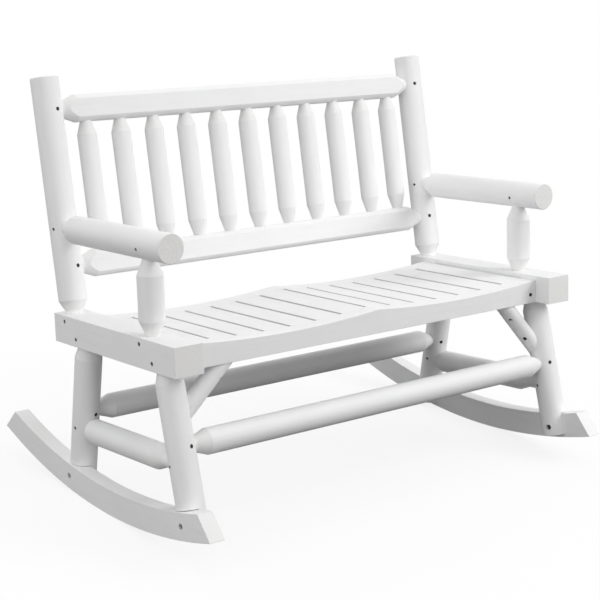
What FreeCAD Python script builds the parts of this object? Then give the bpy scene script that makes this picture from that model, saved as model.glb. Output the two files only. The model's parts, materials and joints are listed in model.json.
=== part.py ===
import FreeCAD, Part
import math
import os
import Sketcher

# Rocking bench of turned logs and sawn boards, painted white, for two sitters.
# Every piece is drawn in the bench frame, in millimetres: x to the right as seen from the front,
# y to the rear, z up, with z = 0 on top of the side rails and y = 0 at the middle of their length.
# At the end the whole bench is leaned back until its mass hangs under the centre of the rocker arc.

SIZES = {
    # Side rails, the square timbers that carry seat, posts and legs
    "frame_width": 1200,
    "rail_width": 73.2,
    "rail_height": 67.8,
    "rail_length": 527,
    # Legs, cut to lap over the inner faces of the rockers
    "leg_diameter": 64.8,
    "leg_neck_diameter": 50,
    "front_leg_setout": 175,
    "rear_leg_setback": 168.3,
    "front_leg_splay": 13,
    "rear_leg_splay": 11.5,
    "lap_rise": 9,
    "lap_clearance": 2,
    # Rockers, planks sawn to an arc
    "rocker_radius": 1497,
    "rocker_depth": 62.5,
    "rocker_thickness": 38,
    "rocker_offset": 0,
    "rocker_drop": 448.3,
    "rocker_centre_setout": 4,
    "rocker_front_reach": 371.4,
    "rocker_front_rake": 45,
    "rocker_rear_reach": 560.5,
    "rocker_rear_rake": 53.3,
    # Stretchers between the legs
    "stretcher_diameter": 59.8,
    "stretcher_neck_diameter": 36,
    "stretcher_drop": 234.3,
    "left_side_stretcher_drop": 275.5,
    "right_side_stretcher_drop": 293.4,
    "side_stretcher_slope": 1,
    "side_stretcher_front_shoulder": 60,
    "side_stretcher_rear_shoulder": 15,
    # Knee braces from the front legs up to the front apron
    "brace_diameter": 42,
    "left_brace_foot_drop": 187.3,
    "right_brace_foot_drop": 210.6,
    "left_brace_angle": 43,
    "right_brace_angle": 48.4,
    # Seat: two aprons with a twice dished top edge, and slats flush between them
    "apron_thickness": 48,
    "apron_setout": 218.6,
    "seat_setback": 209,
    "seat_drop": 10.6,
    "seat_dish": 13.5,
    "slat_count": 14,
    "slat_thickness": 20,
    "slat_gap": 9,
    "cleat_thickness": 25,
    "cleat_rise": 3,
    # Back posts
    "post_diameter": 67.4,
    "post_neck_diameter": 43,
    "post_setback": 230.75,
    "post_lean": 8.4,
    "post_length": 556.5,
    # Back rails, logs with a planed front, and the spindles between them
    "back_rail_diameter": 65.8,
    "back_rail_neck_diameter": 40,
    "back_flat_depth": 25,
    "top_rail_height": 479.5,
    "lower_rail_height": 110.9,
    "spindle_count": 11,
    "spindle_diameter": 47,
    "spindle_neck_diameter": 27,
    "spindle_lower_cone": 38,
    "spindle_upper_cone": 30,
    # Armrests and the posts under their front ends
    "arm_diameter": 66.8,
    "arm_neck_diameter": 40,
    "arm_cone_length": 24,
    "arm_height": 200.8,
    "arm_reach": 212.3,
    "arm_post_diameter": 59.6,
    "arm_post_neck_diameter": 32,
    "arm_post_setout": 121.2,
    # Turned ends and their holes
    "cone_length": 33,
    "foot_cone_length": 25,
    "neck_run": 6,
    "tenon_length": 34,
    "end_ease": 1.5,
    "fit_gap": 0.25,
    # Screws and pins, sunk below the wood, some of them beside the axes of the logs
    "screw_diameter": 5,
    "screw_length": 42,
    "screw_head_diameter": 9,
    "screw_head_height": 3,
    "screw_recess": 4,
    "rail_screw_shift": 14,
    "post_screw_inset": 8,
    "leg_screw_inset": 9,
    "brace_screw_length": 56,
    "pin_diameter": 7,
    "post_pin_shift": 10,
    "nail_diameter": 3,
    "nail_length": 40,
    # Bolts through the rockers, each with a round nut
    "bolt_diameter": 8,
    "bolt_head_diameter": 14,
    "bolt_head_height": 5,
    "bolt_recess": 6,
    "bolt_shift": 3,
    "nut_length": 8,
}

SIDES = {"left": -1, "right": 1}
Vector = FreeCAD.Vector

document = FreeCAD.newDocument("rocking_bench")
sheet = document.addObject("Spreadsheet::Sheet", "sizes")
for row, (alias, size) in enumerate(SIZES.items(), start=1):
    sheet.set(f"A{row}", alias)
    sheet.set(f"B{row}", str(size))
    sheet.setAlias(f"B{row}", alias)
document.recompute()

pieces = []


def number(expression):
    """What an expression in the sheet's names comes to."""
    return float(sheet.evalExpression(expression))


def point(x, y, z):
    return Vector(number(x), number(y), number(z))


def bind(item, expressions):
    for name, expression in expressions.items():
        item.setExpression(name, expression)


def tangent(angle):
    return f"tan(sizes.{angle} * 1 deg)"


# Places that several pieces share, as expressions in the sheet's names
GAP = "sizes.fit_gap"
POST_X = "(sizes.frame_width - sizes.rail_width) / 2"
RAIL_INNER_X = "(sizes.frame_width / 2 - sizes.rail_width)"
ROCKER_INNER_X = f"({POST_X} + sizes.rocker_offset)"
ROCKER_CENTRE_Z = "(sizes.rocker_radius - sizes.rocker_drop)"
ROCKER_TOP_RADIUS = "(sizes.rocker_radius - sizes.rocker_depth)"
APRON_MIDDLE_Y = "(-sizes.apron_setout + sizes.apron_thickness / 2)"
SLAT_FRONT_Y = "(-sizes.apron_setout + sizes.apron_thickness)"
SLAT_REAR_Y = "(sizes.seat_setback - sizes.apron_thickness)"
ARM_REAR_Y = f"(sizes.post_setback + sizes.arm_height * {tangent('post_lean')})"
ARM_SHOULDER_Y = f"({ARM_REAR_Y} - sizes.post_diameter / 2 / cos(sizes.post_lean * 1 deg))"
ARM_SOCKET_RISE = "sizes.tenon_length / 4"
LEG_LEANS = {"front": "-sizes.front_leg_splay", "rear": "sizes.rear_leg_splay"}


def leg_y(end, depth):
    """Where a leg's axis is, at a depth below the top of the rail."""
    swing = f"({depth} - sizes.rail_height) * {tangent(end + '_leg_splay')}"
    if end == "front":
        return f"(-sizes.front_leg_setout - {swing})"
    return f"(sizes.rear_leg_setback + {swing})"


def post_y(height):
    """Where a back post's axis is, at a height above the top of the rail."""
    return f"(sizes.post_setback + {height} * {tangent('post_lean')})"


def along_post(distance):
    """Height above the rail of a point at a distance along the back post."""
    return f"({distance} * cos(sizes.post_lean * 1 deg))"


def axes_of(body, role):
    return next(item for item in body.Origin.OriginFeatures if item.Role == role)


def new_sketch(body, plane, at, turn):
    """A sketch on one of the body's planes, through a point and turned in that plane."""
    x, y, z = at
    offsets = {"XY_Plane": (x, y, z), "XZ_Plane": (x, z, f"-1 * ({y})"), "YZ_Plane": (y, z, x)}
    sketch = body.newObject("Sketcher::SketchObject", body.Name + "_profile")
    sketch.AttachmentSupport = [(axes_of(body, plane), "")]
    sketch.MapMode = "FlatFace"
    sketch.AttachmentOffset = FreeCAD.Placement(Vector(), FreeCAD.Rotation(Vector(0, 0, 1), 1))
    across, up, out = offsets[plane]
    bind(sketch, {
        "AttachmentOffset.Base.x": across,
        "AttachmentOffset.Base.y": up,
        "AttachmentOffset.Base.z": out,
        "AttachmentOffset.Rotation.Angle": f"({turn}) * 1 deg",
    })
    return sketch


def close_loop(sketch, ends):
    """Join each edge's end to the next edge's start; ends gives (edge, start, end)."""
    for (edge, _, last), (after, first, _) in zip(ends, ends[1:] + ends[:1]):
        sketch.addConstraint(Sketcher.Constraint("Coincident", edge, last, after, first))


def hold(sketch, kind, edge, end, name, expression):
    """Hold a point of the sketch at a distance from its origin."""
    rule = Sketcher.Constraint(kind, -1, 1, edge, end, number(expression))
    sketch.renameConstraint(sketch.addConstraint(rule), name)
    sketch.setExpression(f"Constraints.{name}", expression)


def turned(label, plane, at, turn, stations):
    """A round piece, from the radius at each station along its axis."""
    body = document.addObject("PartDesign::Body", label)
    sketch = new_sketch(body, plane, at, turn)
    outline = [("0", stations[0][0])]
    outline += [(radius, station) for station, radius in stations]
    outline.append(("0", stations[-1][0]))
    corners = [Vector(number(radius), number(station), 0) for radius, station in outline]
    count = len(corners)
    for index in range(count):
        sketch.addGeometry(Part.LineSegment(corners[index], corners[(index + 1) % count]), False)
    close_loop(sketch, [(index, 1, 2) for index in range(count)])
    for index, (radius, station) in enumerate(outline):
        if 0 < index < count - 1:
            hold(sketch, "DistanceX", index, 1, f"radius_{index}", radius)
        else:
            sketch.addConstraint(Sketcher.Constraint("PointOnObject", index, 1, -2))
        hold(sketch, "DistanceY", index, 1, f"station_{index}", station)
    revolution = body.newObject("PartDesign::Revolution", label + "_turning")
    revolution.Profile = sketch
    revolution.ReferenceAxis = (sketch, ["V_Axis"])
    revolution.Angle = 360
    return body


def padded(body, sketch, length):
    pad = body.newObject("PartDesign::Pad", body.Name + "_pad")
    pad.Profile = sketch
    pad.setExpression("Length", length)
    return body


def box(name, low, size):
    """A box from its lowest corner and its size along each axis."""
    item = document.addObject("Part::Box", name)
    keys = ("Placement.Base.x", "Placement.Base.y", "Placement.Base.z", "Length", "Width", "Height")
    bind(item, dict(zip(keys, tuple(low) + tuple(size))))
    return item


def peg(name, radius, length, at, axis, angle):
    """A cylinder that starts at a point, its upright axis turned about one axis."""
    item = document.addObject("Part::Cylinder", name)
    item.Placement = FreeCAD.Placement(Vector(), FreeCAD.Rotation(axis, 1))
    keys = ("Placement.Base.x", "Placement.Base.y", "Placement.Base.z")
    bind(item, dict(zip(keys, at)))
    bind(item, {"Placement.Rotation.Angle": f"({angle}) * 1 deg",
                "Radius": radius, "Height": length})
    return item


def fused(name, items):
    if len(items) == 1:
        return items[0]
    union = document.addObject("Part::MultiFuse", name)
    union.Shapes = items
    return union


def less(name, blank, tools):
    """A blank without the space that the tools take."""
    result = document.addObject("Part::Cut", name)
    result.Base = blank
    result.Tool = fused(name + "_tools", tools)
    return result


def finish(label, blank, tools=()):
    """A piece of the bench: its blank, cut for the pieces and screws that meet it."""
    cutters = list(tools) + bores.get(label, [])
    if cutters:
        blank.Label = label + "_blank"
        blank = less(label + "_cut", blank, cutters)
    blank.Label = label
    pieces.append(blank)


# Fasteners

fasteners = {}
bores = {}


def along(start, direction, radius, begin, end):
    """A cylinder about a line, between two distances from its start."""
    return Part.makeCylinder(radius, end - begin, start + direction * begin, direction)


def add_fastener(group, members, start, direction, parts, ways, hollow=None):
    """One fastener of a group, and the bore that its members have for it.

    parts, ways and hollow are (diameter, begin, end) along the direction from the start.
    """
    direction = Vector(direction).normalize()
    solids = [along(start, direction, size / 2, begin, end) for size, begin, end in parts]
    solid = solids[0].fuse(solids[1:]).removeSplitter() if len(solids) > 1 else solids[0]
    if hollow:
        size, begin, end = hollow
        solid = solid.cut(along(start, direction, size / 2, begin, end))
    fasteners.setdefault(group, []).append(solid)
    hole = [along(start, direction, size / 2, begin, end) for size, begin, end in ways]
    bore = document.addObject("Part::Feature", f"{group}_bore_{len(fasteners[group])}")
    bore.Shape = hole[0].fuse(hole[1:]).removeSplitter() if len(hole) > 1 else hole[0]
    for member in members:
        bores.setdefault(member, []).append(bore)


def add_screw(members, start, direction, length="sizes.screw_length"):
    """A screw whose head is sunk below the wood's surface at the start."""
    recess, reach = number("sizes.screw_recess"), number(length)
    head, shank = number("sizes.screw_head_diameter"), number("sizes.screw_diameter")
    neck = recess + number("sizes.screw_head_height")
    tip = recess + reach
    gap = number(GAP)
    outside = -2 * head
    add_fastener("wood_screws", members, start, direction,
                 [(head, recess, neck), (shank, recess, tip)],
                 [(head + 2 * gap, outside, neck + gap), (shank + 2 * gap, 0, tip + gap)])


def add_rod(group, members, start, direction, diameter, begin, end):
    """A plain pin or nail between two distances from the start, open at its near end."""
    gap = number(GAP)
    add_fastener(group, members, start, direction, [(diameter, begin, end)],
                 [(diameter + 2 * gap, begin - 2 * number("sizes.screw_head_diameter"), end + gap)])


def rail_screws():
    """Screws through a side rail's outer face into the tenons of posts and legs."""
    high, low = "0.21 * sizes.rail_height", "0.74 * sizes.rail_height"
    for name, side in SIDES.items():
        targets = [
            (f"{name}_arm_post", "-sizes.arm_post_setout", high),
            (f"{name}_back_post", post_y(f"(-{high})") + " - sizes.rail_screw_shift", high),
            (f"{name}_front_leg", leg_y("front", low), low),
            (f"{name}_rear_leg", leg_y("rear", low), low),
        ]
        for member, y, depth in targets:
            start = point(f"{side} * sizes.frame_width / 2", y, f"-1 * {depth}")
            add_screw([f"{name}_side_rail", member], start, (-side, 0, 0))


def back_screws():
    """Screws through a back post into the back rails, and a pin each side into the arm's tenon."""
    lean = math.radians(number("sizes.post_lean"))
    radius = number("sizes.post_diameter / 2")
    forward = Vector(0, -math.cos(lean), math.sin(lean))
    for name, side in SIDES.items():
        for rail, distance in (("top_back_rail", "sizes.top_rail_height"),
                               ("lower_back_rail", "sizes.lower_rail_height")):
            height = along_post(distance)
            start = point(f"{side} * ({POST_X} - sizes.post_screw_inset)", post_y(height), height)
            add_screw([f"{name}_back_post", rail], start + forward * radius, forward * -1)
        for face in (-1, 1):
            start = point(f"{side} * {POST_X}", f"{ARM_REAR_Y} - sizes.post_pin_shift",
                          "sizes.arm_height") + Vector(face * radius, 0, 0)
            add_rod("post_pins", [f"{name}_back_post", f"{name}_armrest"], start, (-face, 0, 0),
                    number("sizes.pin_diameter"), number("sizes.screw_recess"),
                    number("sizes.post_diameter / 3"))


def arm_pins():
    """A pin across each armrest, through the tenon of the post under it."""
    radius = number("sizes.arm_diameter / 2")
    recess = number("sizes.screw_recess")
    diameter = number("sizes.pin_diameter")
    for name, side in SIDES.items():
        start = point(f"{side} * {POST_X}", "-sizes.arm_post_setout",
                      "sizes.arm_height - sizes.pin_diameter")
        start.x += radius
        direction = Vector(-1, 0, 0)
        pin = [(diameter, recess, 2 * radius - recess)]
        way = [(diameter + 2 * number(GAP), -recess, 2 * radius + recess)]
        add_fastener("arm_pins", [f"{name}_armrest", f"{name}_arm_post"], start, direction, pin, way)


def leg_screws():
    """Screws through the front of each leg into the long stretchers."""
    radius = number("sizes.leg_diameter / 2")
    for name, side in SIDES.items():
        for end, lean in LEG_LEANS.items():
            tilt = math.radians(number(lean))
            forward = Vector(0, -math.cos(tilt), -math.sin(tilt))
            start = point(f"{side} * ({POST_X} - sizes.leg_screw_inset)",
                          leg_y(end, "sizes.stretcher_drop"), "-sizes.stretcher_drop")
            members = [f"{name}_{end}_leg", f"{end}_stretcher"]
            add_screw(members, start + forward * radius, forward * -1)


def leg_pins():
    """A pin across each leg, through the tenon of the side stretcher."""
    recess, width = number("sizes.screw_recess"), number("sizes.leg_diameter")
    diameter = number("sizes.pin_diameter")
    for name, side in SIDES.items():
        for end, step in (("front", 1), ("rear", -1)):
            drop = f"sizes.{name}_side_stretcher_drop"
            start = point(f"{side} * {POST_X} - sizes.leg_diameter / 2",
                          f"{leg_y(end, drop)} + {step} * sizes.pin_diameter",
                          f"-{drop} + sizes.pin_diameter / 2")
            add_fastener("leg_pins", [f"{name}_{end}_leg", f"{name}_side_stretcher"],
                         start, (1, 0, 0), [(diameter, recess, width - recess)],
                         [(diameter + 2 * number(GAP), -recess, width + recess)])


def brace_screws():
    """Two screws from each brace's front underside: one up into the apron, one into the leg."""
    radius = number("sizes.brace_diameter / 2")
    roll = math.radians(38)
    for name, side in SIDES.items():
        angle = math.radians(number(f"sizes.{name}_brace_angle"))
        foot = point(f"{side} * {POST_X}", APRON_MIDDLE_Y, f"-sizes.{name}_brace_foot_drop")
        length = number(f"sizes.{name}_brace_foot_drop - sizes.rail_height") / math.sin(angle)
        axis = Vector(-side * math.cos(angle), 0, math.sin(angle))
        under = Vector(-side * math.sin(angle), 0, -math.cos(angle))
        outward = under * math.cos(roll) + Vector(0, -1, 0) * math.sin(roll)
        for share, member, direction in ((0.81, "front_apron", (0, 0.5, 0.87)),
                                         (0.42, f"{name}_front_leg", (0.95 * side, 0.3, 0))):
            start = foot + axis * (share * length) + outward * radius
            add_screw([f"{name}_brace", member], start, direction, "sizes.brace_screw_length")


def apron_screws():
    """A slanting screw at each end of the front apron, into the side rail."""
    for name, side in SIDES.items():
        start = point(f"{side} * ({RAIL_INNER_X} - sizes.rail_width / 4)", "-sizes.apron_setout",
                      "-0.68 * sizes.rail_height")
        add_screw(["front_apron", f"{name}_side_rail"], start, (0.5 * side, 0.87, 0))


def rocker_bolts():
    """A bolt through the rocker and the lap of each leg, its head and its round nut both sunk."""
    outer = number(f"{ROCKER_INNER_X} + sizes.rocker_thickness")
    reach = outer - number(f"{POST_X} - sqrt((sizes.leg_diameter / 2) ^ 2 - sizes.bolt_shift ^ 2)")
    shank, head = number("sizes.bolt_diameter"), number("sizes.bolt_head_diameter")
    recess, gap = number("sizes.bolt_recess"), number(GAP)
    flange = recess + number("sizes.bolt_head_height")
    nut = reach - recess - number("sizes.nut_length")
    bolt_radius = number("sizes.rocker_radius - sizes.rocker_depth / 2")
    for name, side in SIDES.items():
        for end in ("front", "rear"):
            y = number(leg_y(end, "sizes.rocker_drop - sizes.rocker_depth / 2") + " - sizes.bolt_shift")
            swing = y + number("sizes.rocker_centre_setout")
            z = number(ROCKER_CENTRE_Z) - math.sqrt(bolt_radius ** 2 - swing ** 2)
            start = Vector(side * outer, y, z)
            members = [f"{name}_rocker", f"{name}_{end}_leg"]
            inward = (-side, 0, 0)
            add_fastener("rocker_bolts", members, start, inward,
                         [(head, recess, flange), (shank, recess, reach - recess)],
                         [(head + 2 * gap, -head, flange + gap), (shank + 2 * gap, 0, reach)])
            add_fastener("rocker_nuts", members, start, inward, [(head, nut, reach - recess)],
                         [(head + 2 * gap, nut - gap, reach + head)],
                         (shank + 2 * gap, nut - gap, reach))


def cleat_screws():
    """Screws through each slat cleat into its apron, and a nail up into the end of each slat."""
    count = 5
    span = number(f"2 * {RAIL_INNER_X}")
    low = number("-sizes.rail_height + sizes.cleat_rise")
    nail = number("sizes.nail_length")
    slats = int(number("sizes.slat_count"))
    for end, face, inward in (("front", number(SLAT_FRONT_Y), 1), ("rear", number(SLAT_REAR_Y), -1)):
        y = face + inward * number("sizes.cleat_thickness")
        for index in range(count):
            start = Vector(span * ((index + 0.5) / count - 0.5), y,
                           low + number("sizes.cleat_thickness / 2"))
            add_screw([f"{end}_slat_cleat", f"{end}_apron"], start, (0, -inward, 0))
        for index in range(slats):
            start = Vector(span * ((index + 0.5) / slats - 0.5),
                           face + inward * number("sizes.cleat_thickness / 2"), low)
            add_rod("slat_nails", [f"{end}_slat_cleat", f"slat_{index + 1:02d}"], start, (0, 0, 1),
                    number("sizes.nail_diameter"), 0, nail)


# Wooden pieces

def make_side_rail(name, side):
    """A square timber, with sockets for two posts above and two legs below."""
    blank = box(f"{name}_rail_blank",
                (f"{side} * {POST_X} - sizes.rail_width / 2", "-sizes.rail_length / 2",
                 "-sizes.rail_height"),
                ("sizes.rail_width", "sizes.rail_length", "sizes.rail_height"))
    x = f"{side} * {POST_X}"
    depth = f"sizes.tenon_length + {GAP}"
    sockets = [
        peg(f"{name}_arm_post_socket", f"sizes.arm_post_neck_diameter / 2 + {GAP}",
            f"2 * ({depth})", (x, "-sizes.arm_post_setout", f"-1 * ({depth})"), Vector(1, 0, 0), "0"),
        leaning_peg(f"{name}_post_socket", f"sizes.post_neck_diameter / 2 + {GAP}", x,
                    "sizes.post_setback", "0", "-sizes.post_lean", depth, -1),
        leaning_peg(f"{name}_front_leg_socket", f"sizes.leg_neck_diameter / 2 + {GAP}", x,
                    "-sizes.front_leg_setout", "-sizes.rail_height", LEG_LEANS["front"], depth, 1),
        leaning_peg(f"{name}_rear_leg_socket", f"sizes.leg_neck_diameter / 2 + {GAP}", x,
                    "sizes.rear_leg_setback", "-sizes.rail_height", LEG_LEANS["rear"], depth, 1),
    ]
    finish(f"{name}_side_rail", blank, sockets)


def leaning_peg(name, radius, x, y, z, lean, depth, way):
    """A socket about a leaning axis: way is 1 where it runs up into the wood and -1 where down.

    It starts one depth outside the surface, so that the slant leaves no wood in its mouth.
    """
    back = f"-1 * ({depth})"
    sine = f"sin(({lean}) * 1 deg)"
    cosine = f"cos(({lean}) * 1 deg)"
    at = (x, f"{y} - ({back}) * {sine}", f"{z} + ({back}) * {cosine}")
    return peg(name, radius, f"2 * ({depth})", at, Vector(1, 0, 0), lean)


def make_back_post(name, side):
    """A round post with a turned foot, leaning back, bored for the two back rails and the arm."""
    x = f"{side} * {POST_X}"
    full, neck = "sizes.post_diameter / 2", "sizes.post_neck_diameter / 2"
    blank = turned(f"{name}_post_turning", "YZ_Plane", (x, "sizes.post_setback", "0"),
                   "-sizes.post_lean",
                   [("-sizes.tenon_length", neck),
                    ("sizes.neck_run", neck),
                    ("sizes.neck_run + sizes.foot_cone_length", full),
                    ("sizes.post_length - sizes.end_ease", full),
                    ("sizes.post_length", f"{full} - sizes.end_ease")])
    inner = f"{side} * ({POST_X} - sizes.post_diameter)"
    sockets = []
    for rail, distance in (("top", "sizes.top_rail_height"), ("lower", "sizes.lower_rail_height")):
        height = along_post(distance)
        sockets.append(peg(f"{name}_post_{rail}_socket", f"sizes.back_rail_neck_diameter / 2 + {GAP}",
                           f"sizes.post_diameter / 2 + sizes.tenon_length + {GAP}",
                           (inner, post_y(height), height), Vector(0, 1, 0), f"{side} * 90"))
    sockets.append(peg(f"{name}_post_arm_socket", f"sizes.arm_neck_diameter / 2 + {GAP}",
                       f"sizes.post_diameter / 2 + sizes.tenon_length + {GAP}",
                       (x, f"{ARM_SHOULDER_Y} - sizes.post_diameter / 2", "sizes.arm_height"),
                       Vector(1, 0, 0), "-90"))
    finish(f"{name}_back_post", blank, sockets)


def make_leg(name, side, end):
    """A round leg: turned neck into the rail, lap over the rocker's inner face and top edge."""
    start = {"front": "-sizes.front_leg_setout", "rear": "sizes.rear_leg_setback"}[end]
    x = f"{side} * {POST_X}"
    full, neck = "sizes.leg_diameter / 2", "sizes.leg_neck_diameter / 2"
    blank = turned(f"{name}_{end}_leg_turning", "YZ_Plane", (x, start, "-sizes.rail_height"),
                   LEG_LEANS[end],
                   [("-1.1 * (sizes.rocker_drop - sizes.rail_height)", full),
                    ("-sizes.neck_run - sizes.foot_cone_length", full),
                    ("-sizes.neck_run", neck),
                    ("sizes.tenon_length", neck)])
    drop = "sizes.stretcher_drop"
    socket = peg(f"{name}_{end}_stretcher_socket", f"sizes.stretcher_neck_diameter / 2 + {GAP}",
                 f"sizes.leg_diameter / 2 + sizes.tenon_length + {GAP}",
                 (f"{side} * ({POST_X} - sizes.leg_diameter)", leg_y(end, drop), f"-{drop}"),
                 Vector(0, 1, 0), f"{side} * 90")
    tools = [socket, side_stretcher_socket(name, side, end), lap_cutter(name, side),
             toe_cutter(name, side)]
    finish(f"{name}_{end}_leg", blank, tools)


def below_arc(name, x, width, radius):
    """The space further than a radius from the axis of the rocker arc, under the seat."""
    reach = "sizes.rocker_radius"
    slab = box(name + "_slab",
               (x, f"-{reach}", f"-2 * {reach} + {ROCKER_CENTRE_Z}"),
               (width, f"2 * {reach}", f"2 * {reach} - {ROCKER_CENTRE_Z} - 1.5 * sizes.rail_height"))
    drum = peg(name + "_drum", radius, width,
               (x, "-sizes.rocker_centre_setout", ROCKER_CENTRE_Z), Vector(0, 1, 0), "90")
    return less(name, slab, [drum])


def lap_cutter(name, side):
    """What a leg loses outside the rocker's inner face, from the rocker's top edge down."""
    width = "2 * sizes.leg_diameter"
    inner = f"({ROCKER_INNER_X} - {GAP})"
    low = inner if side > 0 else f"-1 * {inner} - {width}"
    return below_arc(f"{name}_lap_cutter", low, width, f"{ROCKER_TOP_RADIUS} - sizes.lap_clearance")


def toe_cutter(name, side):
    """What a leg loses at its toe, a little above the rocker's rolling edge."""
    width = "4 * sizes.leg_diameter"
    return below_arc(f"{name}_toe_cutter", f"{side} * {POST_X} - {width} / 2", width,
                     "sizes.rocker_radius - sizes.lap_rise")


def make_rocker(name, side):
    """A plank sawn to an arc, its ends raked back above the rolling edge."""
    body = document.addObject("PartDesign::Body", f"{name}_rocker_plank")
    x = ROCKER_INNER_X if side > 0 else f"-1 * ({ROCKER_INNER_X} + sizes.rocker_thickness)"
    sketch = new_sketch(body, "YZ_Plane", (x, "0", "0"), "0")
    centre = point("0", "-sizes.rocker_centre_setout", ROCKER_CENTRE_Z)
    rolling, top = number("sizes.rocker_radius"), number(ROCKER_TOP_RADIUS)
    reaches = {
        "rolling_front": "-sizes.rocker_front_reach",
        "rolling_rear": "sizes.rocker_rear_reach",
        "top_front": "-(sizes.rocker_front_reach - sizes.rocker_front_rake)",
        "top_rear": "(sizes.rocker_rear_reach - sizes.rocker_rear_rake)",
    }

    def angle(corner, radius):
        return -math.acos((number(reaches[corner]) - centre.y) / radius)

    hub = Vector(centre.y, centre.z, 0)
    edges = {}
    for edge, radius in (("rolling", rolling), ("top", top)):
        circle = Part.Circle(hub, Vector(0, 0, 1), radius)
        arc = Part.ArcOfCircle(circle, angle(edge + "_front", radius), angle(edge + "_rear", radius))
        edges[edge] = (sketch.addGeometry(arc, False), arc)
    (low, rolling_arc), (high, top_arc) = edges["rolling"], edges["top"]
    rear = sketch.addGeometry(Part.LineSegment(rolling_arc.EndPoint, top_arc.EndPoint), False)
    front = sketch.addGeometry(Part.LineSegment(top_arc.StartPoint, rolling_arc.StartPoint), False)
    close_loop(sketch, [(low, 1, 2), (rear, 1, 2), (high, 2, 1), (front, 1, 2)])
    sketch.addConstraint(Sketcher.Constraint("Coincident", low, 3, high, 3))
    hold(sketch, "DistanceX", low, 3, "centre_y", "-sizes.rocker_centre_setout")
    hold(sketch, "DistanceY", low, 3, "centre_z", ROCKER_CENTRE_Z)
    for edge, name_of, radius in ((low, "rolling_radius", "sizes.rocker_radius"),
                                  (high, "top_radius", ROCKER_TOP_RADIUS)):
        rule = sketch.addConstraint(Sketcher.Constraint("Radius", edge, number(radius)))
        sketch.renameConstraint(rule, name_of)
        sketch.setExpression(f"Constraints.{name_of}", radius)
    for corner, (edge, end) in {"rolling_front": (low, 1), "rolling_rear": (low, 2),
                                "top_front": (high, 1), "top_rear": (high, 2)}.items():
        hold(sketch, "DistanceX", edge, end, corner, reaches[corner])
    finish(f"{name}_rocker", padded(body, sketch, "sizes.rocker_thickness"))


def side_stretcher_turn(way):
    """The turn of an axis along a side stretcher: way is 1 to the rear and -1 to the front."""
    return f"-90 - sizes.side_stretcher_slope + 90 * {1 - way}"


def side_leg_face(name, end):
    """Where the inner face of a leg meets the side stretcher."""
    sign = {"front": "+", "rear": "-"}[end]
    half = f"sizes.leg_diameter / 2 / cos({LEG_LEANS[end]} * 1 deg)"
    return f"({leg_y(end, f'sizes.{name}_side_stretcher_drop')} {sign} {half})"


def make_side_stretcher(name, side):
    """A log between the legs of one side, tapered sooner at its front end than at its rear."""
    full, neck = "sizes.stretcher_diameter / 2", "sizes.stretcher_neck_diameter / 2"
    front, rear = side_leg_face(name, "front"), side_leg_face(name, "rear")
    front_shoulder = f"({front} + sizes.side_stretcher_front_shoulder)"
    rear_shoulder = f"({rear} - sizes.side_stretcher_rear_shoulder)"
    blank = turned(f"{name}_side_stretcher_turning", "YZ_Plane",
                   (f"{side} * {POST_X}", "0", f"-sizes.{name}_side_stretcher_drop"),
                   side_stretcher_turn(1),
                   [(f"{front} - sizes.tenon_length + {GAP}", neck),
                    (f"{front_shoulder} - sizes.cone_length", neck),
                    (front_shoulder, full),
                    (rear_shoulder, full),
                    (f"{rear_shoulder} + 0.6 * sizes.side_stretcher_rear_shoulder", neck),
                    (f"{rear} + sizes.tenon_length - {GAP}", neck)])
    finish(f"{name}_side_stretcher", blank)


def side_stretcher_socket(name, side, end):
    """A hole in a leg for the side stretcher's tenon, along the stretcher's slope."""
    way = {"front": -1, "rear": 1}[end]
    begin = f"({side_leg_face(name, end)} - {way} * sizes.leg_diameter / 4)"
    slope = "sizes.side_stretcher_slope * 1 deg"
    return peg(f"{name}_{end}_side_socket", f"sizes.stretcher_neck_diameter / 2 + {GAP}",
               "sizes.leg_diameter / 4 + sizes.tenon_length",
               (f"{side} * {POST_X}", f"{begin} * cos({slope})",
                f"-sizes.{name}_side_stretcher_drop - {begin} * sin({slope})"),
               Vector(1, 0, 0), side_stretcher_turn(way))


def make_long_stretcher(end):
    """A log between the two front or the two rear legs, tapered into them at both ends."""
    drop = "sizes.stretcher_drop"
    half = f"({POST_X} - sizes.leg_diameter / 2)"
    blank = turned(f"{end}_stretcher_turning", "XZ_Plane", ("0", leg_y(end, drop), f"-{drop}"), "-90",
                   tapered(half, "sizes.stretcher_diameter / 2", "sizes.stretcher_neck_diameter / 2"))
    finish(f"{end}_stretcher", blank)


def tapered(half, full, neck):
    """Stations of a log with a cone and a tenon at each end, half its free length each way."""
    return [
        (f"-({half}) - sizes.tenon_length + {GAP}", neck),
        (f"-({half})", neck),
        (f"-({half}) + sizes.cone_length", full),
        (f"({half}) - sizes.cone_length", full),
        (f"({half})", neck),
        (f"({half}) + sizes.tenon_length - {GAP}", neck),
    ]


def make_brace(name, side):
    """A diagonal log, coped to the front leg and sawn level under the apron."""
    radius = "sizes.brace_diameter / 2"
    foot, angle = f"sizes.{name}_brace_foot_drop", f"sizes.{name}_brace_angle"
    length = f"1.5 * ({foot} - sizes.rail_height) / sin({angle} * 1 deg)"
    blank = turned(f"{name}_brace_turning", "XZ_Plane",
                   (f"{side} * {POST_X}", APRON_MIDDLE_Y, f"-{foot}"),
                   f"{side} * (90 - {angle})", [("0", radius), (length, radius)])
    cope = peg(f"{name}_brace_cope", f"sizes.leg_diameter / 2 + {GAP}", f"2 * {foot}",
               (f"{side} * {POST_X}", leg_y("front", f"(2 * {foot})"), f"-2 * {foot}"),
               Vector(1, 0, 0), LEG_LEANS["front"])
    above = box(f"{name}_brace_trim",
                (f"{side} * {POST_X} - sizes.frame_width / 2", "-2 * sizes.apron_setout",
                 f"-sizes.rail_height - {GAP}"),
                ("sizes.frame_width", "2 * sizes.apron_setout", foot))
    finish(f"{name}_brace", blank, [cope, above])


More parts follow.
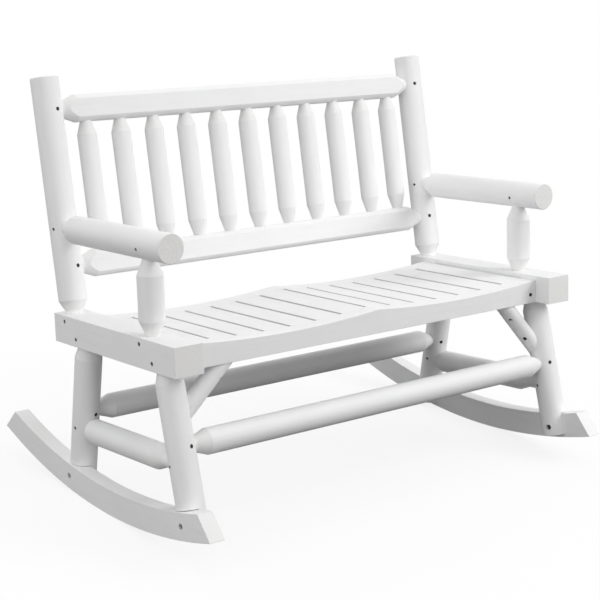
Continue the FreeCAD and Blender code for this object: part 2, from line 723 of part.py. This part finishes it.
def dished_edge(sketch, drop):
    """Two sagging arcs, from the right end over the middle crest to the left end."""
    half = number(f"{RAIL_INNER_X} - {GAP}")
    dish = number("sizes.seat_dish")
    radius = ((half / 2) ** 2 + dish ** 2) / (2 * dish)
    reach = math.asin(half / 2 / radius)
    level = number(drop)
    arcs = []
    for middle in (half / 2, -half / 2):
        circle = Part.Circle(Vector(middle, level - dish + radius, 0), Vector(0, 0, 1), radius)
        arc = Part.ArcOfCircle(circle, -math.pi / 2 - reach, -math.pi / 2 + reach)
        arcs.append(sketch.addGeometry(arc, False))
    for place, arc in enumerate(arcs):
        rule = sketch.addConstraint(Sketcher.Constraint("Radius", arc, radius))
        name = f"dish_{arc}_{place}"
        sketch.renameConstraint(rule, name)
        sketch.setExpression(f"Constraints.{name}", f"((({RAIL_INNER_X} - {GAP}) / 2) ^ 2"
                             " + sizes.seat_dish ^ 2) / (2 * sizes.seat_dish)")
    return arcs


def dished_board(label, y, thickness, top, bottom):
    """A board between the rails with a straight lower edge and the seat's twice dished top."""
    body = document.addObject("PartDesign::Body", label + "_board")
    sketch = new_sketch(body, "XZ_Plane", ("0", y, "0"), "0")
    half = f"({RAIL_INNER_X} - {GAP})"
    right, left = dished_edge(sketch, top)
    low, high, end = number(bottom), number(top), number(half)
    corners = [Vector(-end, high, 0), Vector(-end, low, 0), Vector(end, low, 0), Vector(end, high, 0)]
    lines = [sketch.addGeometry(Part.LineSegment(first, last), False)
             for first, last in zip(corners, corners[1:])]
    close_loop(sketch, [(right, 2, 1), (left, 2, 1)] + [(line, 1, 2) for line in lines])
    hold(sketch, "DistanceX", right, 2, "right_end", half)
    hold(sketch, "DistanceY", right, 2, "right_top", top)
    hold(sketch, "DistanceX", left, 1, "left_end", f"-1 * {half}")
    hold(sketch, "DistanceY", left, 1, "left_top", top)
    hold(sketch, "DistanceY", left, 2, "crest", top)
    sketch.addConstraint(Sketcher.Constraint("PointOnObject", left, 2, -2))
    for line in (lines[0], lines[2]):
        sketch.addConstraint(Sketcher.Constraint("Vertical", line))
    hold(sketch, "DistanceY", lines[1], 1, "lower_left", bottom)
    hold(sketch, "DistanceY", lines[1], 2, "lower_right", bottom)
    return padded(body, sketch, thickness)


def make_seat_boards():
    """The two aprons, and the cleats behind them that carry the slats."""
    under = "-sizes.seat_drop - sizes.slat_thickness"
    front_face = "-sizes.apron_setout + sizes.apron_thickness"
    boards = {
        "front_apron": (front_face, "sizes.apron_thickness", "-sizes.seat_drop", "-sizes.rail_height"),
        "rear_apron": ("sizes.seat_setback", "sizes.apron_thickness", "-sizes.seat_drop",
                       "-sizes.rail_height"),
        "front_slat_cleat": (f"{SLAT_FRONT_Y} + sizes.cleat_thickness", "sizes.cleat_thickness",
                             under, "-sizes.rail_height + sizes.cleat_rise"),
        "rear_slat_cleat": (SLAT_REAR_Y, "sizes.cleat_thickness", under,
                            "-sizes.rail_height + sizes.cleat_rise"),
    }
    for label, (rear_face, thickness, top, bottom) in boards.items():
        finish(label, dished_board(label, rear_face, thickness, top, bottom))


def make_slats():
    """Boards from front to rear whose tops together follow the dish of the aprons."""
    length = f"({SLAT_REAR_Y} - {SLAT_FRONT_Y} - 2 * {GAP})"
    rear = f"{SLAT_REAR_Y} - {GAP}"
    whole = dished_board("seat_panel", rear, length, "-sizes.seat_drop",
                         "-sizes.seat_drop - sizes.slat_thickness - sizes.seat_dish")
    below = dished_board("seat_underside", rear, length, "-sizes.seat_drop - sizes.slat_thickness",
                         "-sizes.seat_drop - sizes.slat_thickness - 2 * sizes.seat_dish")
    panel = less("seat_blank", whole, [below])
    count = int(number("sizes.slat_count"))
    pitch = "(2 * " + RAIL_INNER_X + " / sizes.slat_count)"
    for index in range(count):
        label = f"slat_{index + 1:02d}"
        strip = box(label + "_strip",
                    (f"-{RAIL_INNER_X} + {index} * {pitch} + sizes.slat_gap / 2", f"-sizes.rail_length",
                     "-2 * sizes.rail_height"),
                    (f"{pitch} - sizes.slat_gap", "2 * sizes.rail_length", "2 * sizes.rail_height"))
        slat = document.addObject("Part::Common", label + "_board")
        slat.Base = panel
        slat.Tool = strip
        finish(label, slat)


def make_back_rail(label, distance, spindle_side):
    """A log between the back posts with a planed front face, bored for the spindles."""
    height = along_post(distance)
    half = f"({POST_X} - sizes.post_diameter / 2)"
    blank = turned(label + "_turning", "XZ_Plane", ("0", post_y(height), height), "-90",
                   tapered(half, "sizes.back_rail_diameter / 2", "sizes.back_rail_neck_diameter / 2"))
    tools = [planed_face(label, height, half)]
    tools += [spindle_socket(f"{label}_socket_{index + 1}", index, distance, spindle_side)
              for index in range(int(number("sizes.spindle_count")))]
    finish(label, blank, tools)


def planed_face(label, height, half):
    """The slab that is planed off the front of a back rail, square to the leaning back."""
    slab = document.addObject("Part::Box", label + "_planing")
    slab.Placement = FreeCAD.Placement(Vector(), FreeCAD.Rotation(Vector(1, 0, 0), 1))
    cosine, sine = "cos(sizes.post_lean * 1 deg)", "sin(sizes.post_lean * 1 deg)"
    radius = "sizes.back_rail_diameter"
    depth = f"(sizes.back_flat_depth + {radius})"
    bind(slab, {
        "Length": f"2 * {half} - 2 * {GAP}",
        "Width": radius,
        "Height": f"2 * {radius}",
        "Placement.Base.x": f"-1 * {half} + {GAP}",
        "Placement.Base.y": f"{post_y(height)} - {depth} * {cosine} - {radius} * {sine}",
        "Placement.Base.z": f"{height} + {depth} * {sine} - {radius} * {cosine}",
        "Placement.Rotation.Angle": "-1 * sizes.post_lean * 1 deg",
    })
    return slab


def spindle_x(index):
    return f"({index + 1} / (sizes.spindle_count + 1) - 0.5) * 2 * {POST_X}"


def spindle_socket(name, index, distance, spindle_side):
    """A hole in a back rail, up from its middle when spindle_side is 1 and down when -1."""
    depth = f"(sizes.back_rail_diameter / 2 - sizes.tenon_length / 2 - {GAP})"
    reach = "sizes.back_rail_diameter"
    begin = f"({distance} + {depth})" if spindle_side > 0 else f"({distance} - {depth} - {reach})"
    height = along_post(begin)
    return peg(name, f"sizes.spindle_neck_diameter / 2 + {GAP}", reach,
               (spindle_x(index), post_y(height), height), Vector(1, 0, 0), "-sizes.post_lean")


def make_spindles():
    """Round spindles with tapered ends, evenly spaced between the posts."""
    full, neck = "sizes.spindle_diameter / 2", "sizes.spindle_neck_diameter / 2"
    rail = "sizes.back_rail_diameter / 2"
    low = f"(sizes.lower_rail_height + {rail})"
    high = f"(sizes.top_rail_height - {rail})"
    for index in range(int(number("sizes.spindle_count"))):
        label = f"spindle_{index + 1:02d}"
        blank = turned(label + "_turning", "YZ_Plane", (spindle_x(index), "sizes.post_setback", "0"),
                       "-sizes.post_lean",
                       [(f"{low} - sizes.tenon_length / 2", neck),
                        (low, neck),
                        (f"{low} + sizes.spindle_lower_cone", full),
                        (f"{high} - sizes.spindle_upper_cone", full),
                        (high, neck),
                        (f"{high} + sizes.tenon_length / 2", neck)])
        finish(label, blank)


def make_armrest(name, side):
    """A log tapered at its rear into the back post, and bored from below for the arm post."""
    radius, neck = "sizes.arm_diameter / 2", "sizes.arm_neck_diameter / 2"
    shoulder = f"(sizes.arm_reach + {ARM_SHOULDER_Y})"
    x = f"{side} * {POST_X}"
    blank = turned(f"{name}_arm_turning", "YZ_Plane", (x, "-sizes.arm_reach", "sizes.arm_height"), "-90",
                   [("0", f"{radius} - sizes.end_ease"),
                    ("sizes.end_ease", radius),
                    (f"{shoulder} - sizes.neck_run - sizes.arm_cone_length", radius),
                    (f"{shoulder} - sizes.neck_run", neck),
                    (f"{shoulder} + sizes.tenon_length", neck)])
    socket = peg(f"{name}_arm_socket", f"sizes.arm_post_neck_diameter / 2 + {GAP}",
                 f"{radius} + {ARM_SOCKET_RISE} + {GAP}",
                 (x, "-sizes.arm_post_setout", f"sizes.arm_height - {radius}"), Vector(1, 0, 0), "0")
    finish(f"{name}_armrest", blank, [socket])


def make_arm_post(name, side):
    """A short round post between rail and armrest, tapered into both."""
    full, neck = "sizes.arm_post_diameter / 2", "sizes.arm_post_neck_diameter / 2"
    top = "(sizes.arm_height - sizes.arm_diameter / 2)"
    blank = turned(f"{name}_arm_post_turning", "YZ_Plane",
                   (f"{side} * {POST_X}", "-sizes.arm_post_setout", "0"), "0",
                   [("-sizes.tenon_length", neck),
                    (GAP, neck),
                    (f"{GAP} + sizes.cone_length", full),
                    (f"{top} - sizes.cone_length", full),
                    (top, neck),
                    (f"sizes.arm_height + {ARM_SOCKET_RISE}", neck)])
    finish(f"{name}_arm_post", blank)


def make_fastener_groups():
    """Each kind of fastener as one group of separate solids."""
    for label, solids in fasteners.items():
        group = document.addObject("Part::Feature", label)
        group.Shape = Part.makeCompound(solids)
        group.Label = label
        pieces.append(group)


def stand(bench):
    """Lean the bench until it balances on its rockers, and set it on the floor.

    A rocker rolls until the centre of mass is straight under the centre of its arc.
    The origin ends up on the floor under the middle of the whole bench.
    """
    solids = [solid for piece in bench for solid in piece.Shape.Solids]
    volume = sum(solid.Volume for solid in solids)
    centre = Vector()
    for solid in solids:
        centre += solid.CenterOfMass * (solid.Volume / volume)
    hub = point("0", "-sizes.rocker_centre_setout", ROCKER_CENTRE_Z)
    lean = math.degrees(math.atan2(hub.y - centre.y, hub.z - centre.z))
    turn = FreeCAD.Rotation(Vector(1, 0, 0), lean)
    lift = number("sizes.rocker_radius") - turn.multVec(hub).z
    for piece in bench:
        piece.Placement = FreeCAD.Placement(Vector(0, 0, lift), turn)
    document.recompute()
    extents = [piece.Shape.optimalBoundingBox(False) for piece in bench]
    middle = (min(box.YMin for box in extents) + max(box.YMax for box in extents)) / 2
    for piece in bench:
        piece.Placement = FreeCAD.Placement(Vector(0, -middle, lift), turn)
    document.recompute()
    print(f"leans {lean:.3f} degrees, lifted {lift:.3f} and moved forward {middle:.3f}")


def check_document():
    """Stop where any object of the document has failed, or a piece is not sound."""
    for item in document.Objects:
        if "Invalid" in item.State or "Error" in item.State:
            raise RuntimeError(f"{item.Label} failed: {item.State}")
    for piece in pieces:
        if piece.Shape.isNull() or not piece.Shape.isValid() or not piece.Shape.Solids:
            raise RuntimeError(f"{piece.Label} is not a sound solid")


rail_screws()
back_screws()
arm_pins()
leg_screws()
leg_pins()
brace_screws()
apron_screws()
rocker_bolts()
cleat_screws()
for side_name, side_sign in SIDES.items():
    make_rocker(side_name, side_sign)
    make_side_rail(side_name, side_sign)
    for leg_end in ("front", "rear"):
        make_leg(side_name, side_sign, leg_end)
    make_side_stretcher(side_name, side_sign)
    make_brace(side_name, side_sign)
    make_back_post(side_name, side_sign)
    make_arm_post(side_name, side_sign)
    make_armrest(side_name, side_sign)
for leg_end in ("front", "rear"):
    make_long_stretcher(leg_end)
make_seat_boards()
make_slats()
make_back_rail("top_back_rail", "sizes.top_rail_height", -1)
make_back_rail("lower_back_rail", "sizes.lower_rail_height", 1)
make_spindles()
make_fastener_groups()
document.recompute()
check_document()
stand(pieces)
check_document()

os.makedirs("parts", exist_ok=True)
for piece in pieces:
    piece.Shape.exportStep(f"parts/{piece.Label}.step")
    print(f"{piece.Label}: {len(piece.Shape.Solids)} solid(s), {piece.Shape.Volume / 1000:.1f} cm3")
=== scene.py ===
import json
import math

import bpy
from mathutils import Euler, Matrix, Vector


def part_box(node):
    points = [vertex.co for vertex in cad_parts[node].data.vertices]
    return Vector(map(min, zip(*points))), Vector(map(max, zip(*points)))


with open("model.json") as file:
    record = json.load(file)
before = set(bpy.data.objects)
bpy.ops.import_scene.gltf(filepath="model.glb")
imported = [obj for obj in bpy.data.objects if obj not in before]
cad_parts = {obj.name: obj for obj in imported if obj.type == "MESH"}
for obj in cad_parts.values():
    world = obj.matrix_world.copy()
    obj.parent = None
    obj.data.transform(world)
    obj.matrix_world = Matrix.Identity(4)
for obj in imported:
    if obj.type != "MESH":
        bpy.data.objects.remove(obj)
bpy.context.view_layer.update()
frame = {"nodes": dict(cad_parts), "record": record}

# How the bench stands: part.py leans it back until it balances. Degrees and metres.
LEAN = -4.743
LIFT = 0.45156
SHIFT = 0.063621
STANCE = Matrix.Translation((0, -SHIFT, LIFT)) @ Matrix.Rotation(math.radians(LEAN), 4, "X")

# The photo's camera, in the bench frame of part.py. Metres, radians, and millimetres of lens.
CAMERA_PLACE = (-2.22266, -2.86723, 0.68975)
CAMERA_YAW = 0.6446
CAMERA_PITCH = -0.1922
CAMERA_ROLL = -0.0302
LENS = 89.578
SENSOR_WIDTH = 36

# How the logs of the bench lean, in degrees
POST_LEAN = 8.4
LEG_LEANS = {"front": 13.0, "rear": -11.5}
BRACE_ANGLES = {"left": 43.0, "right": 48.4}

# Pieces that are sawn; the other wooden ones are logs
SAWN = ("side_rail", "apron", "slat", "rocker")

WHITE = (1, 1, 1, 1)
PAINT = (0.925, 0.925, 0.93, 1)
PAINT_SHADE = (0.80, 0.795, 0.785, 1)
THIN_PAINT = (0.86, 0.845, 0.82, 1)
END_GRAIN = (0.83, 0.81, 0.78, 1)
# Painted shade: the dark colour that stands in for shade in the gaps between slats and in the
# hollows of each piece
PAINTED_SHADE_COLOUR = (0.26, 0.25, 0.235, 1)
STEEL = (0.075, 0.073, 0.07, 1)
STEEL_SHADE = (0.0375, 0.0365, 0.035, 1)

# The painted wood. Scales are per metre; shares say how far a colour goes to the next one.
STREAK_SCALE = 55.0
STREAK_DRAW = 0.07
STREAK_SHARE = 0.35
CLOUD_SCALE = 7.0
CLOUD_SHARE = 0.175
FINE_SCALE = 275.0
THIN_SHARE = 0.7
RING_SCALE = 30.0
RING_SHIFT = (0.016, -0.011, 0)
LOG_RING_SHARE = 0.5
SAWN_RING_SHARE = 0.25
# How far the painted shade goes on sides that face left and right
PAINTED_SIDE_SHADE_SHARE = 0.3
# How far a hollow reaches, in metres, for the painted shade in the hollows of each piece
PAINTED_SHADE_REACH = 0.012
EDGE_RADIUS = 0.0018
RELIEF = 0.0006
RELIEF_STRENGTH = 0.35
PAINT_SPECULAR = 0.35
PAINT_ROUGHNESS = (0.5, 0.68)

STEEL_SPOT_SCALE = 600.0
STEEL_METALLIC = 0.25
STEEL_SPECULAR = 0.2

# The floor, in metres from under the bench, and the light it gives back to the bench
FLOOR_HALF = 60
FLOOR_NEAR = 0.6
FLOOR_FAR = 1.6
FLOOR_GLOW = 0.84
FLOOR_PAINT = (0.95, 0.95, 0.95, 1)
FLOOR_BOUNCE = (0.18, 0.18, 0.18, 1)

# The studio: the world's light, and each lamp's place, diameter and power
WORLD_LIGHT = 0.64
LAMP_AIM = (0, 0, 0.4)
LAMPS = {
    "right": ((3.0, -3.0, 3.0), 2.5, 108),
    "left": ((-4.2, -0.5, 2.0), 2.5, 36),
    "top": ((0.5, -0.3, 4.5), 3.0, 6),
    "back": ((0, 3.5, 3.2), 2.5, 24),
}


class Nodes:
    """The nodes of a material or a world. An input is a value or another node's output."""

    def __init__(self, owner):
        owner.use_nodes = True
        self.tree = owner.node_tree

    def fill(self, node, inputs):
        for key, value in inputs.items():
            if isinstance(value, bpy.types.NodeSocket):
                self.tree.links.new(value, node.inputs[key])
            else:
                node.inputs[key].default_value = value

    def add(self, kind, output, inputs=None, **settings):
        """A new node, of which one output is handed back."""
        node = self.tree.nodes.new("ShaderNode" + kind)
        for key, value in settings.items():
            setattr(node, key, value)
        self.fill(node, inputs or {})
        return node.outputs[output]

    def math(self, operation, *values):
        return self.add("Math", "Value", dict(enumerate(values)), operation=operation)

    def ramp(self, value, start, end, low, high, **settings):
        """From low to high, while a value goes from start to end."""
        return self.add("MapRange", "Result", {"Value": value, "From Min": start, "From Max": end,
                                               "To Min": low, "To Max": high}, **settings)

    def mix(self, share, first, second):
        """A colour between two."""
        return self.add("Mix", 2, {"Factor": share, 6: first, 7: second}, data_type="RGBA")

    def blend(self, share, first, second):
        """A shader between two."""
        return self.add("MixShader", "Shader", {"Fac": share, 1: first, 2: second})


def turn_to(axis):
    """Euler angles that turn a grain direction to the texture's z axis."""
    return axis.rotation_difference(Vector((0, 0, 1))).to_euler()


def painted_wood(name, axis, pith, sawn, painted_shade_sides):
    """White paint over wood whose grain runs along an axis through the pith, in the world.

    A sawn piece has eased edges and fainter rings in its ends than a log. With shaded sides,
    the faces that point left and right get a painted shade, in place of the shade in the gaps
    between pieces. The hollows of every piece get a painted shade as well.
    """
    material = bpy.data.materials.new(name)
    nodes = Nodes(material)
    place = nodes.add("TexCoord", "Object")
    centred = nodes.add("Mapping", "Vector", {"Vector": place, "Location": -pith})
    turned = nodes.add("Mapping", "Vector", {"Vector": centred, "Rotation": turn_to(axis)})
    drawn = nodes.add("Mapping", "Vector", {"Vector": turned, "Scale": (1, 1, STREAK_DRAW)})
    grain = nodes.add("TexNoise", "Fac", {"Vector": drawn, "Scale": STREAK_SCALE, "Detail": 8,
                                          "Roughness": 0.62, "Distortion": 0.4})
    fine = nodes.add("TexNoise", "Fac", {"Vector": drawn, "Scale": FINE_SCALE, "Detail": 4,
                                         "Roughness": 0.6})
    cloud = nodes.add("TexNoise", "Fac", {"Vector": turned, "Scale": CLOUD_SCALE, "Detail": 3,
                                          "Roughness": 0.5})

    # How far a surface faces along the grain: 0 on a long side, more on a cone, 1 on an end
    normal = nodes.add("NewGeometry", "Normal")
    facing = nodes.math("ABSOLUTE", nodes.add("VectorMath", "Value", {0: normal, 1: axis},
                                              operation="DOT_PRODUCT"))

    colour = nodes.mix(nodes.ramp(grain, 0.50, 0.78, 0, STREAK_SHARE), PAINT, PAINT_SHADE)
    colour = nodes.mix(nodes.ramp(cloud, 0.45, 0.75, 0, CLOUD_SHARE), colour, PAINT_SHADE)
    thin = nodes.math("MULTIPLY", nodes.ramp(facing, 0.12, 0.3, 0, THIN_SHARE), cloud)
    colour = nodes.mix(thin, colour, THIN_PAINT)
    off_centre = nodes.add("Mapping", "Vector", {"Vector": turned, "Location": RING_SHIFT})
    rings = nodes.add("TexWave", "Fac", {"Vector": off_centre, "Scale": RING_SCALE,
                                         "Distortion": 9.0, "Detail": 4, "Detail Scale": 6.0,
                                         "Detail Roughness": 0.7},
                      wave_type="RINGS", rings_direction="Z")
    ends = nodes.ramp(facing, 0.93, 0.98, 0, SAWN_RING_SHARE if sawn else LOG_RING_SHARE)
    colour = nodes.mix(ends, colour, nodes.mix(rings, END_GRAIN, PAINT))
    # Painted shade: sides that face left and right are darkened toward the crevice colour, for the
    # shade in the gaps between slats
    if painted_shade_sides:
        across = nodes.math("ABSOLUTE", nodes.add("SeparateXYZ", "X", {"Vector": normal}))
        colour = nodes.mix(nodes.ramp(across, 0.6, 0.9, 0, PAINTED_SIDE_SHADE_SHARE), colour, PAINTED_SHADE_COLOUR)
    # Painted shade: the piece's own hollows, such as the walls of its screw holes, are darkened
    # toward the crevice colour by how closed in they are
    painted_shade_openness = nodes.add("AmbientOcclusion", "AO", {"Distance": PAINTED_SHADE_REACH},
                           samples=8, only_local=True)
    colour = nodes.mix(nodes.ramp(painted_shade_openness, 0.75, 0.35, 0, 1), colour, PAINTED_SHADE_COLOUR)

    relief = {"Height": nodes.math("ADD", grain, fine), "Strength": RELIEF_STRENGTH,
              "Distance": RELIEF}
    if sawn:
        relief["Normal"] = nodes.add("Bevel", "Normal", {"Radius": EDGE_RADIUS}, samples=4)
    nodes.fill(nodes.tree.nodes["Principled BSDF"], {
        "Base Color": colour,
        "Normal": nodes.add("Bump", "Normal", relief),
        "Roughness": nodes.ramp(fine, 0, 1, *PAINT_ROUGHNESS),
        "Specular IOR Level": PAINT_SPECULAR,
    })
    return material


def dull_steel(name):
    material = bpy.data.materials.new(name)
    nodes = Nodes(material)
    place = nodes.add("TexCoord", "Object")
    spots = nodes.add("TexNoise", "Fac", {"Vector": place, "Scale": STEEL_SPOT_SCALE, "Detail": 4})
    nodes.fill(nodes.tree.nodes["Principled BSDF"], {
        "Base Color": nodes.mix(spots, STEEL, STEEL_SHADE),
        "Roughness": spots,
        "Metallic": STEEL_METALLIC,
        "Specular IOR Level": STEEL_SPECULAR,
    })
    return material


def leaning(angle):
    """Up along an axis that leans to the rear by an angle, in the bench frame."""
    turn = math.radians(angle)
    return (0, math.sin(turn), math.cos(turn))


def grain_of(node):
    """The direction of a node's grain, in the world."""
    side = -1 if node.startswith("left") else 1
    rise = math.radians(BRACE_ANGLES[node[:node.index("_")]] if "brace" in node else 0)
    rules = (
        ("cleat", (1, 0, 0)),
        ("_back_post", leaning(POST_LEAN)),
        ("spindle", leaning(POST_LEAN)),
        ("front_leg", leaning(LEG_LEANS["front"])),
        ("rear_leg", leaning(LEG_LEANS["rear"])),
        ("_arm_post", (0, 0, 1)),
        ("_brace", (-side * math.cos(rise), 0, math.sin(rise))),
        ("armrest", (0, 1, 0)),
        ("side_rail", (0, 1, 0)),
        ("side_stretcher", (0, 1, 0)),
        ("rocker", (0, 1, 0)),
        ("slat_", (0, 1, 0)),
        ("", (1, 0, 0)),
    )
    direction = next(direction for part, direction in rules if part in node)
    return (STANCE.to_3x3() @ Vector(direction)).normalized()


def dress_bench():
    """Steel on the fasteners, and on each wooden piece a paint that follows its own grain."""
    steel = dull_steel("dull_steel")
    slots = {part["node"]: part["material_slot"] for part in frame["record"]["subparts"]}
    for name, node in sorted(frame["nodes"].items()):
        if slots[name] == "steel":
            material = steel
        else:
            low, high = (Vector(corner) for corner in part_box(name))
            material = painted_wood("paint_" + name, grain_of(name), (low + high) / 2,
                                    sawn=any(word in name for word in SAWN),
                                    painted_shade_sides=name.startswith("slat_"))
        node.data.materials.clear()
        node.data.materials.append(material)


def new_floor():
    """A pale floor that keeps the bench's shadow and gives its underside little light back.

    Away from the bench it glows more, so that it stays as white as the backdrop there. From
    below it is clear, and shows the underside.
    """
    mesh = bpy.data.meshes.new("floor")
    corners = [(x * FLOOR_HALF, y * FLOOR_HALF, 0) for x, y in ((-1, -1), (1, -1), (1, 1), (-1, 1))]
    mesh.from_pydata(corners, [], [(0, 1, 2, 3)])
    floor = bpy.data.objects.new("floor", mesh)
    bpy.context.scene.collection.objects.link(floor)
    material = bpy.data.materials.new("floor")
    nodes = Nodes(material)
    distance = nodes.add("VectorMath", "Value", {0: nodes.add("NewGeometry", "Position")},
                         operation="LENGTH")
    glowing = nodes.ramp(distance, FLOOR_NEAR, FLOOR_FAR, FLOOR_GLOW, 1,
                         interpolation_type="SMOOTHSTEP")
    lit = nodes.add("BsdfDiffuse", "BSDF", {"Color": FLOOR_PAINT})
    glow = nodes.add("Emission", "Emission", {"Color": WHITE, "Strength": 1.0})
    bounce = nodes.add("BsdfDiffuse", "BSDF", {"Color": FLOOR_BOUNCE})
    above = nodes.blend(nodes.add("LightPath", "Is Camera Ray"), bounce,
                        nodes.blend(glowing, lit, glow))
    clear = nodes.add("BsdfTransparent", "BSDF")
    nodes.fill(nodes.tree.nodes["Material Output"], {
        "Surface": nodes.blend(nodes.add("NewGeometry", "Backfacing"), above, clear),
    })
    nodes.tree.nodes.remove(nodes.tree.nodes["Principled BSDF"])
    mesh.materials.append(material)


def new_world():
    """White where the camera or a reflection sees it, and a plain soft light on the object."""
    world = bpy.data.worlds.new("studio")
    bpy.context.scene.world = world
    nodes = Nodes(world)
    seen = nodes.add("LightPath", "Is Camera Ray")
    rays = seen.node.outputs
    for ray in ("Is Glossy Ray", "Is Transmission Ray"):
        seen = nodes.math("MAXIMUM", seen, rays[ray])
    nodes.fill(nodes.tree.nodes["Background"], {
        "Color": WHITE,
        "Strength": nodes.ramp(seen, 0, 1, WORLD_LIGHT, 1),
    })


def new_lamps():
    for name, (place, size, power) in LAMPS.items():
        data = bpy.data.lights.new(name, "AREA")
        data.shape = "DISK"
        data.size = size
        data.energy = power
        lamp = bpy.data.objects.new(name, data)
        bpy.context.scene.collection.objects.link(lamp)
        lamp.location = place
        lamp.rotation_euler = (Vector(LAMP_AIM) - Vector(place)).to_track_quat("-Z", "Y").to_euler()


def new_camera():
    """The photo's camera, which looks at the bench from the front and its left side."""
    data = bpy.data.cameras.new("camera")
    data.sensor_width = SENSOR_WIDTH
    data.lens = LENS
    camera = bpy.data.objects.new("camera", data)
    bpy.context.scene.collection.objects.link(camera)
    turn = Euler((math.pi / 2 + CAMERA_PITCH, 0, -CAMERA_YAW), "XYZ").to_matrix().to_4x4()
    roll = Matrix.Rotation(CAMERA_ROLL, 4, "Z")
    camera.matrix_world = STANCE @ Matrix.Translation(CAMERA_PLACE) @ turn @ roll
    bpy.context.scene.camera = camera


dress_bench()
new_floor()
new_world()
new_lamps()
new_camera()
bpy.context.scene.view_settings.view_transform = "Standard"
